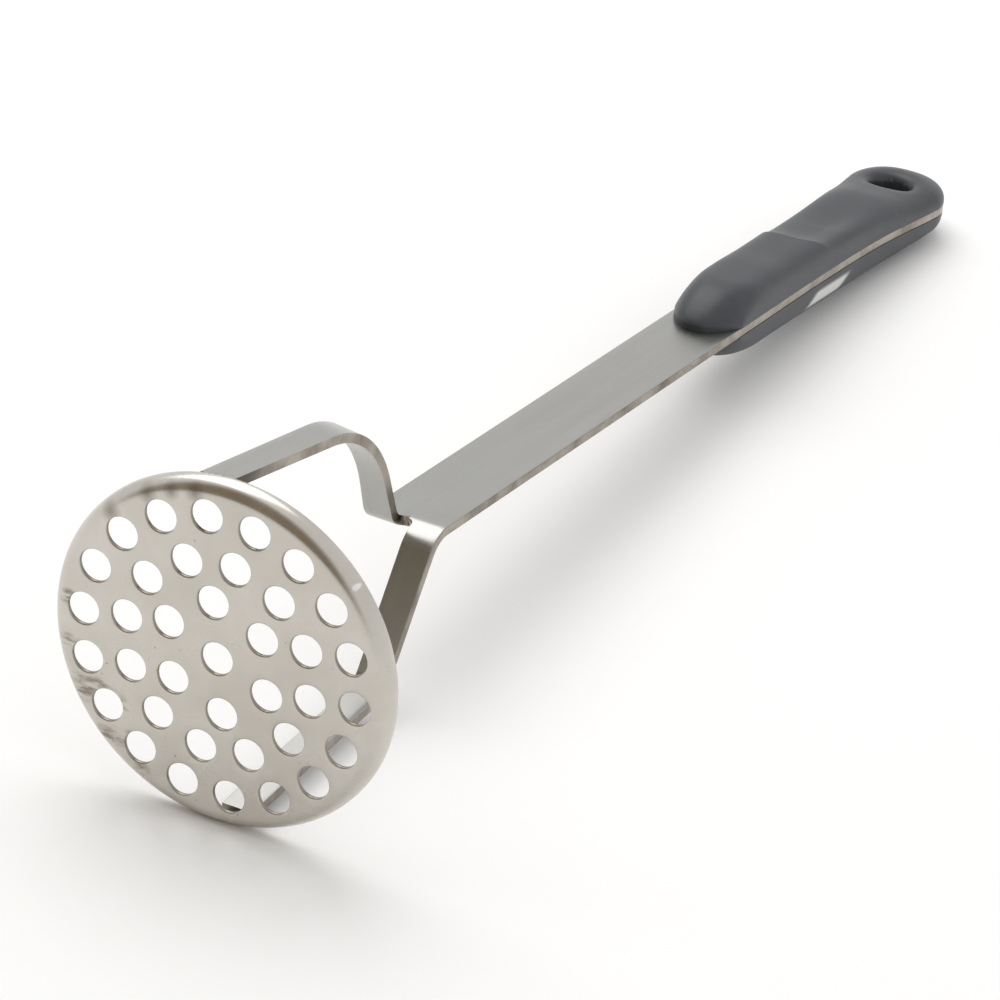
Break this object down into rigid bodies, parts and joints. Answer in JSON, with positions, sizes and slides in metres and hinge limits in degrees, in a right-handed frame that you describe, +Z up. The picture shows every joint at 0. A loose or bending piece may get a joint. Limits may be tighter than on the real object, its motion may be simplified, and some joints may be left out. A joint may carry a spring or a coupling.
{
  "type": "potato masher",
  "caption": "Hand potato masher: round perforated steel plate on a split, bent steel bar with a two-scale plastic grip and a hanging hole.",
  "frame": {"origin": "middle of the bottom of the bounding box, with the masher lying on its back on a worktop", "axes": "+Y along the handle from the plate to the grip, +Z up, the side of the bar's front face, +X to the right edge of the bar"},
  "size_m": [0.0868, 0.388, 0.0868],
  "materials": {
    "plate_steel": "satin stainless steel, lightly stained",
    "bar_steel": "satin stainless steel, brushed along the bar",
    "grip_plastic": "dark slate satin plastic",
    "weld_steel": "dull weld metal",
    "pin_steel": "plain turned steel"
  },
  "bodies": {
    "root": {"mashing_plate": "plate_steel", "handle_bar": "bar_steel", "front_scale": "grip_plastic", "rear_scale": "grip_plastic", "weld_front": "weld_steel", "weld_rear": "weld_steel", "scale_pin_lower": "pin_steel", "scale_pin_upper": "pin_steel"}
  },
  "joints": []
}
